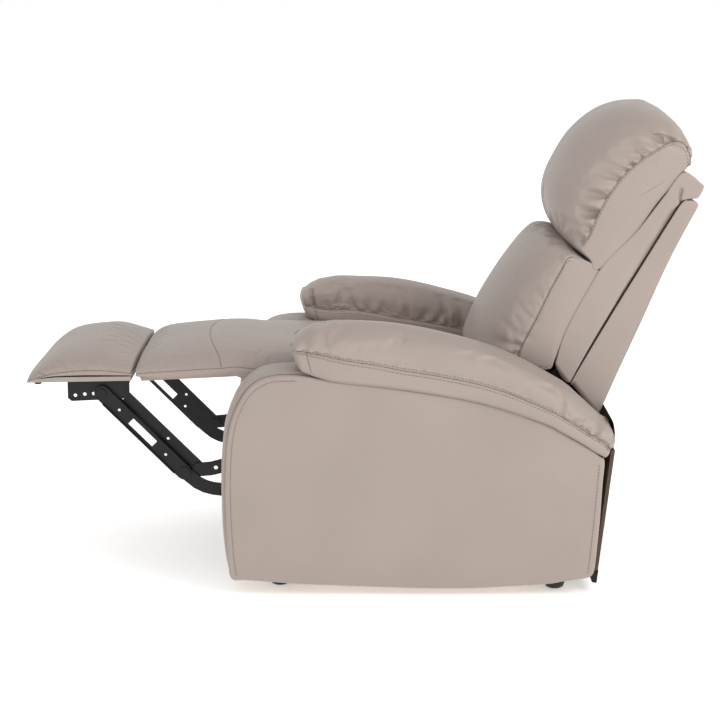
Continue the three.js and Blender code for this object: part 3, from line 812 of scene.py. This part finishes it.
def pillow(sign):
    m, n = 100, 130
    soft = sweep(PILLOW_LOW, PILLOW_TOP, pillow_section, m, n, ends=(9, 9), end_round=(0.018, 0.012))
    rows, low = soft.g.shape[0], low_count(n)
    pins = np.zeros((rows, n))
    pins[:, :low + 1] = 1.0
    pins[:14], pins[-13:] = 1.0, 1.0
    simulate(soft, pins, pressure=1.5, grow=0.012, cap=0.006)
    soft.finer(2, 2)
    rows, cols = soft.g.shape[:2]
    out_col, in_col = low_count(n) * 2, 0
    top = np.zeros((rows, cols))
    top[:, out_col:] = 1.0
    along = np.r_[0, np.cumsum(np.linalg.norm(np.diff(soft.g[:, out_col], axis=0), axis=1))][:, None]
    last = along[-1, 0]
    live = smoothstep(0.012, 0.04, along) * (1 - smoothstep(last - 0.04, last - 0.012, along))
    h = undulate(soft, 0.11, 0.0013, 51 + (sign < 0))
    valley, d_out = seam_valley(soft, out_col, 0.0026, 0.0042)
    h += valley * live
    valley, d_in = seam_valley(soft, in_col, 0.0026, 0.0042)
    h += valley * live
    # outer side: small pleats, stronger round both ends
    h += pleats(along, d_out, 34, 0.03, last - 0.03, 0.020, 0.0045, 0.0010, 61) * top * live
    h += pleats(along, d_out, 6, 0.03, 0.12, 0.045, 0.0058, 0.0042, 62, 0.8) * top * live
    h += pleats(along, d_out, 8, last - 0.19, last - 0.035, 0.050, 0.0058, 0.0046, 63, 0.6) * top * live
    # seat side: full gathers from the seam, and one deep tuck near the front
    h += pleats(along, d_in, 20, 0.14, last - 0.05, 0.060, 0.0070, 0.0070, 64, 0.5) * top * live
    h += pleats(along, d_in, 26, 0.10, last - 0.05, 0.020, 0.0040, 0.0016, 65, 0.4) * top * live
    tuck = along - 0.078 - 0.10 * d_in
    fall = np.exp(-(d_in / 0.085) ** 4) * top
    h += (0.004 * np.exp(-((tuck + 0.016) / 0.012) ** 2) - 0.011 * np.exp(-(tuck / 0.0048) ** 2)) * fall
    soft.push(h)
    nrm = soft.normals()
    a, b = 14, rows - 16
    for col, off, kind in ((out_col, 3, "dark"), (out_col, -3, "dark"), (in_col, 3, "light")):
        k = (col + off) % cols
        flipped = np.array([sign, 1, 1])
        stitches("base", soft.g[a:b, k] * flipped, nrm[a:b, k] * flipped, thread=kind,
                 length=0.0055 if kind == "dark" else 0.0075, radius=0.0006 if kind == "dark" else 0.0009)
        painted_seam_shadow("base", soft.g[a:b, col] * flipped, nrm[a:b, col] * flipped)
    for cut in (np.arange(out_col, out_col - 24, -1), np.arange(0, 22)):
        painted_seam_shadow("base", soft.g[22, cut] * flipped, nrm[22, cut] * flipped)
    return soft


both(pillow, "arm_pillow_leather", "base", "arm_pillow")


# ---- front bands: the padded strip that wraps each arm front
BAND_OUT = [(-271, 38), (-284, 120), (-287.5, 225), (-282, 335), (-272, 382), (-248, 434), (-215, 464),
            (-176, 475), (-130, 477), (-100, 472), (-66, 462)]
BAND_IN = [(-256, 38), (-265, 120), (-267, 225), (-262, 333), (-253, 372), (-232, 420), (-205, 446),
           (-174, 457), (-130, 461), (-100, 457), (-66, 449)]


def band_section(_, n):
    return loop_section([(0.0, 268), (0.0, 361), (0.35, 365.2), (0.8, 365.2), (1.02, 358), (1.12, 338),
                         (1.16, 314), (1.12, 290), (1.02, 271), (0.8, 264), (0.35, 264)], n)


def band(_):
    soft = sweep(BAND_IN, BAND_OUT, band_section, 150, 90, ends=(4, 4), end_round=(0.003, 0.003))
    h = undulate(soft, 0.07, 0.0012, 91) + fold_noise(soft, 0.05, 0.25, 0.0012, 92)
    soft.push(h)
    return soft


both(band, "front_band_leather", "base", "front_band")


# ---- flat upholstered plates: an outline in (Y, Z), with a rounded rim and a gently filled face
def plate(outline, x_in, x_out, rim, fill, n=320, rings=34):
    o = curve(np.array(outline, float), n, True)
    mid = o.mean(0)
    tangent = np.roll(o, -1, 0) - np.roll(o, 1, 0)
    nn = np.c_[tangent[:, 1], -tangent[:, 0]]
    nn /= np.linalg.norm(nn, axis=1, keepdims=True)
    if np.sum(nn * (o - mid)) < 0:
        nn = -nn
    out = []
    for f in np.linspace(0.04, 0.97, 6):
        out.append(np.c_[np.full(n, x_in), mid + (o - nn * 2 - mid) * f])
    out.append(np.c_[np.full(n, x_in), o - nn * 1.0])
    out.append(np.c_[np.full(n, x_in + 1.5), o])
    for a in np.linspace(0, math.pi / 2, 7):
        out.append(np.c_[np.full(n, x_out - rim + rim * math.sin(a)), o - nn * rim * (1 - math.cos(a))])
    inner = o - nn * rim
    for k in range(1, rings + 1):
        f = 1 - k / (rings + 0.7)
        x = x_out + fill * (1 - f ** 6)
        out.append(np.c_[np.full(n, x), mid + (inner - mid) * f])
    return Soft(np.array(out) * MM)


PANEL = [(-268, 37), (-274, 80), (-278, 150), (-279, 225), (-277, 290), (-273, 335), (-264, 376),
         (-250, 410), (-232, 438), (-211, 456), (-180, 467), (-127, 469), (-61, 459), (82, 441.5),
         (246, 413.5), (370, 373.5), (440, 336), (474, 315), (497, 298), (505, 288), (502, 240),
         (498, 160), (492.5, 90), (489.5, 60), (486, 46), (478, 39), (462, 35.8), (420, 29.5), (377, 24),
         (188, 15.5), (-63, 22), (-230, 33)]


def distance_to(line, y, z):
    """Distance of points from a polyline, in the same units."""
    best = np.full(y.shape, 1e9)
    for a, b in zip(line[:-1], line[1:]):
        ab = b - a
        t = np.clip(((y - a[0]) * ab[0] + (z - a[1]) * ab[1]) / (ab @ ab + 1e-12), 0, 1)
        best = np.minimum(best, np.hypot(y - a[0] - t * ab[0], z - a[1] - t * ab[1]))
    return best


FRONT_STITCH = curve([(-257, 40), (-263, 90), (-267, 160), (-268, 225), (-266, 290), (-262, 335), (-253, 374),
                      (-240, 406), (-224, 430), (-204, 446), (-178, 456.5), (-127, 458.5)], 90)
REAR_STITCH = curve([(494, 286), (491, 240), (485, 160), (478, 80), (474, 44)], 40)


def side_panel(sign):
    soft = plate(PANEL, 366.5, 379.5, rim=6, fill=1.2)
    y, z = soft.g[..., 1] / MM, soft.g[..., 2] / MM
    face = (soft.g[..., 0] > 0.374) * 1.0
    h = -0.0012 * np.exp(-(distance_to(FRONT_STITCH, y, z) / 2.2) ** 2) * face
    h += -0.0012 * np.exp(-(distance_to(REAR_STITCH, y, z) / 2.2) ** 2) * face
    h += (undulate(soft, 0.16, 0.0010, 101) + undulate(soft, 0.06, 0.0003, 102)) * face
    soft.push(h)
    for line in (FRONT_STITCH, REAR_STITCH):
        p = np.c_[np.full(len(line), sign * 380.3), line] * MM
        stitches("base", p, np.tile([sign * 1.0, 0, 0], (len(line), 1)), length=0.0045, gap=0.0024)
    return soft


def cup_hole(ob):
    """Cuts the window for the release handle cup through the right panel."""
    bpy.ops.mesh.primitive_cube_add(size=1, location=(-0.375, 0.036, 0.339))
    cutter = bpy.context.object
    cutter.scale = (0.06, 0.1124, 0.0664)
    mod = ob.modifiers.new("window", "BOOLEAN")
    mod.object = cutter
    mod.operation = "DIFFERENCE"
    mod.solver = "EXACT"
    bpy.context.view_layer.objects.active = ob
    bpy.ops.object.modifier_apply(modifier=mod.name)
    bpy.data.objects.remove(cutter, do_unlink=True)


both(side_panel, "outer_panel_leather", "base", "outer_panel")
cup_hole(bpy.data.objects["right_outer_panel_leather"])


# ---- pads in one sweep from front to rear, with a border seam round the sides
SEAT_LOW = [(-473.5, 441), (-440, 436.5), (-380, 435.5), (-318, 438.5), (-264, 441), (-240, 426),
            (-210, 408), (-150, 400), (0, 397), (150, 397), (300, 399)]
SEAT_TOP = [(-474.5, 462), (-459, 480), (-390, 494), (-315, 500.5), (-264, 501), (-225, 498),
            (-200, 497.5), (-150, 497), (-40, 490), (130, 452), (300, 417)]


def seat_section(s, n):
    k = 0.31 + 0.27 * float(smoothstep(0.24, 0.38, s))
    lower = [(k, -247), (k * 0.5, -248.8), (0.07, -246), (0, -236), (0, -120), (0, 0), (0, 120), (0, 236),
             (0.07, 246), (k * 0.5, 248.8), (k, 247)]
    return split_section(lower, dome(k, 247), n)


def flap_seam(x):
    """Y of the curved seam between the seat and the flap, in millimetres."""
    return -332 + 41 * (x / 250) ** 2


def seat_top():
    m, n = 130, 160
    soft = sweep(SEAT_LOW, SEAT_TOP, seat_section, m, n, ends=(7, 4), end_round=(0.003, 0.006))
    rows, low = soft.g.shape[0], low_count(n)
    pins = np.zeros((rows, n))
    pins[:, :low + 1] = 1.0
    pins[:9], pins[-8:] = 1.0, 1.0
    simulate(soft, pins, pressure=1.5, grow=0.008, cap=0.005)
    soft.finer(2, 2)
    rows, cols = soft.g.shape[:2]
    v, u = soft.g[..., 1] / MM, soft.g[..., 0] / MM
    h = undulate(soft, 0.16, 0.0016, 141) + undulate(soft, 0.06, 0.0005, 142)
    top = np.zeros((rows, cols))
    top[:, low * 2:] = 1
    for col in (0, low * 2):
        valley, d = seam_valley(soft, col, 0.0022, 0.0032)
        h += valley
        h += pleats(soft.g[..., 1], d, 40, -0.46, -0.05, 0.014, 0.0045, 0.0008, 143 + col % 2) * top
    h -= 0.0012 * np.exp(-((v - flap_seam(u)) / 3.0) ** 2) * top
    soft.push(h)
    ob = soft.build("seat_leather", LEATHER)
    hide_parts("seat_cushion", "front_flap_pad")
    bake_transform(ob)
    nrm = soft.normals()
    for col in (0, low * 2):
        painted_seam_shadow("seat_top", soft.g[12:-10, col], nrm[12:-10, col])
    x = np.linspace(-244, 244, 200)
    pts, ups = surface_points(soft, x, flap_seam(x))
    painted_seam_shadow("seat_top", pts, ups, radius=0.00045, lift=0.0001)


def surface_points(soft, x, y):
    """Points of the upper surface above the given X and Y in millimetres, with their normals."""
    nrm = soft.normals()
    g = soft.g.reshape(-1, 3)
    up = nrm.reshape(-1, 3)
    keep = up[:, 2] > 0.25
    g, up = g[keep], up[keep]
    pts, ups = [], []
    for a, b in zip(x * MM, y * MM):
        d = (g[:, 0] - a) ** 2 + (g[:, 1] - b) ** 2
        k = np.argpartition(d, 4)[:4]
        w = 1 / (d[k] + 1e-8)
        z = (g[k, 2] * w).sum() / w.sum()
        pts.append((a, b, z))
        ups.append((up[k] * w[:, None]).sum(0) / w.sum())
    return np.array(pts), np.array(ups)


seat_top()

# ---- leg rest pad: a crowned cushion that comes to a thin tip, over its leather board
REST_LOW = [(-704, 425.6), (-698, 431), (-676, 436.5), (-642, 441), (-590, 443.5), (-540, 443.8),
            (-483, 443.5)]
REST_TOP = [(-709, 433.5), (-701, 445), (-680, 464), (-644, 484), (-580, 493), (-540, 491), (-486, 468)]


def rest_section(s, n):
    k = 0.16 + 0.06 * float(smoothstep(0.1, 0.6, s))
    lower = [(k, -247), (k * 0.5, -248.8), (0.03, -246), (0, -238), (0, -120), (0, 0), (0, 120), (0, 238),
             (0.03, 246), (k * 0.5, 248.8), (k, 247)]
    h, x = split_section(lower, dome(k, 247), n)
    return h, x * (1 - 0.028 * (1 - float(smoothstep(0.0, 0.11, s))) ** 2)


def leg_rest_pad():
    m, n = 84, 160
    soft = sweep(REST_LOW, REST_TOP, rest_section, m, n, ends=(6, 8), end_round=(0.0045, 0.005))
    rows, low = soft.g.shape[0], low_count(n)
    pins = np.zeros((rows, n))
    pins[:, :low + 1] = 1.0
    pins[:8], pins[-11:] = 1.0, 1.0
    simulate(soft, pins, pressure=1.5, grow=0.004, cap=0.002)
    soft.finer(2, 3)
    rows, cols = soft.g.shape[:2]
    top = np.zeros((rows, cols))
    top[:, low * 2:] = 1
    y = soft.g[..., 1]
    h = undulate(soft, 0.13, 0.0012, 161)
    for col in (0, low * 2):
        valley, d = seam_valley(soft, col, 0.0024, 0.0030)
        h += valley * smoothstep(-0.712, -0.70, y)
        h += pleats(y + 0.8 * d, d, 22, -0.68, -0.50, 0.026, 0.0038, 0.0024, 162 + col % 2, 0.3) * top
    soft.push(h)
    finish_piece(soft, "leg_rest_leather", "leg_rest", "leg_rest_pad")
    nrm = soft.normals()
    for col in (0, low * 2):
        painted_seam_shadow("leg_rest", soft.g[18:-12, col], nrm[18:-12, col])


leg_rest_pad()
for side, x in (("left", 0.225), ("right", -0.225)):
    bpy.ops.mesh.primitive_cylinder_add(vertices=32, radius=0.0075, depth=0.009, location=(x, -0.684, 0.4255))
    glide = bpy.context.object
    glide.name = f"{side}_rest_glide"
    glide.data.materials.append(PLASTIC)
    soften = glide.modifiers.new("soften", "BEVEL")
    soften.width = 0.002
    soften.segments = 3
    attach(glide, "leg_rest")

# ---- wings, the roll over the top of the back, and the outer back
WING_LOW = [(446, 429.5), (490, 512), (544, 605), (596, 692), (648, 779.5), (665, 806), (676, 814),
            (698, 817.5)]
WING_TOP = [(413, 475), (434.5, 546), (499, 665), (538, 711), (579, 753), (632, 824), (670, 872.5),
            (712, 847)]


def wing_section(_, n):
    pts = [(0.0, 226), (0.0, 240), (0.03, 246.5), (0.10, 249.2), (0.35, 249.6), (0.7, 249.2), (0.9, 249),
           (0.985, 247.8), (1.0, 243), (1.0, 224), (0.94, 217), (0.5, 215.6), (0.06, 217)]
    return loop_section(pts, n)


def wing(_):
    soft = sweep(WING_LOW, WING_TOP, wing_section, 190, 110, ends=(7, 8), end_round=(0.013, 0.007))
    g = soft.g
    y, z = g[..., 1] / MM, g[..., 2] / MM
    face = smoothstep(0.236, 0.246, g[..., 0])
    h = undulate(soft, 0.10, 0.0013, 171) * face
    tuck = (666, 812)
    # drag folds that run from the tuck to (ey, ez)
    for (ey, ez, depth, width) in ((596, 640, 3.0, 7), (618, 742, 2.6, 6), (560, 640, 2.2, 8),
                                   (520, 560, 1.8, 8), (648, 850, 1.5, 7), (470, 480, 1.0, 9)):
        a, b = np.array(tuck, float), np.array((ey, ez), float)
        ab = b - a
        length = np.linalg.norm(ab)
        d = ab / length
        along = (y - a[0]) * d[0] + (z - a[1]) * d[1]
        across = (z - a[1]) * d[0] - (y - a[0]) * d[1] + 5 * np.sin(along / 55 + ey)
        w = width * (0.6 + 0.8 * np.clip(along / length, 0, 1))
        env = smoothstep(0, 30, along) * (1 - smoothstep(0.55, 1.0, along / length))
        h -= depth * MM * np.exp(-(across / w) ** 2) * env * face
    cut = distance_to(np.array([(667, 810), (664, 822), (667, 836)], float), y, z)
    h -= 0.0065 * np.exp(-(cut / 3.2) ** 2) * face
    soft.push(h)
    return soft


both(wing, "wing_leather", "back", "wing")

ROLL = [(648, 826), (660, 852), (671, 869), (688, 866), (704, 855), (715, 838), (711, 822), (698, 817),
        (664, 817)]
roll, _ = bolster(ROLL, ROLL, 215.6, n=90, m=60)
roll.push(undulate(roll, 0.09, 0.0012, 181))
finish_piece(roll, "top_roll_leather", "back", "back_top_roll")

BACK = [(504, 359), (545, 455), (588, 554), (639, 673), (672, 742), (700, 796), (703, 807), (696, 813),
        (684, 814), (671, 811), (648, 775), (597, 690), (545, 602), (494, 514), (449, 433), (447, 426),
        (453, 419), (478, 388), (498, 363)]
BACK_EDGE = [(y - 1.2 if z > 600 else y, z - 1) for y, z in BACK]
shell, _ = bolster(BACK, BACK_EDGE, 248.2, n=220, m=100, power=30, dome=1.2)
shell.push(undulate(shell, 0.18, 0.0014, 191))
finish_piece(shell, "outer_back_leather", "back", "outer_back_panel")



# ---- thin goods: the cloth between the seat and the back, and the binding of the rear cover
def ribbon(name, line, half, thick, look, seed=None):
    """A thin sheet across the chair along a line of (Y, Z) points."""
    p = curve(line, 60) * MM
    tangent = np.gradient(p, axis=0)
    tangent /= np.linalg.norm(tangent, axis=1, keepdims=True)
    side = np.c_[-tangent[:, 1], tangent[:, 0]] * thick * MM / 2
    x = np.linspace(-half, half, 80) * MM
    rows = []
    for xi in x:
        wave = 0.0
        if seed is not None:
            wave = 0.003 * value_noise(seed, np.full(60, xi / 0.05 + 9), p[:, 0] / 0.03 + 20)[:, None]
            wave = wave * (np.sin(np.linspace(0, math.pi, 60)) ** 0.7)[:, None]
        a = p + side * (1 + wave / (thick * MM / 2))
        b = p + side * (-1 + wave / (thick * MM / 2))
        rows.append(np.c_[np.full(120, xi), np.vstack([a, b[::-1]])])
    soft = Soft(np.array(rows))
    return soft.build(name, look), float(np.linalg.norm(np.diff(p, axis=0), axis=1).sum())


BRIDGE = [(314, 386), (328, 372), (352, 366), (380, 372), (402, 388), (416, 408), (423, 430)]
bridge, bridge_length = ribbon("seat_back_cloth", BRIDGE, 204, 1.4, BLACK_CLOTH, 201)
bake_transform(bridge)
TRIM = [(523.5, 307), (526, 321), (527, 336), (526, 351), (523, 365), (517, 377)]
trim, trim_length = ribbon("rear_cover_top", TRIM, 351, 2.0, BLACK_CLOTH)
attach(trim, "base")
bpy.ops.mesh.primitive_cube_add(size=1, location=(0, 0.4935, 0.0345))
hem = bpy.context.object
hem.name = "rear_cover_hem"
hem.scale = (0.7048, 0.0098, 0.027)
hem.rotation_euler[0] = -math.atan2(33, 284)
hem.data.materials.append(BLACK_CLOTH)
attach(hem, "base")

build_stitches_and_shadow_lines()
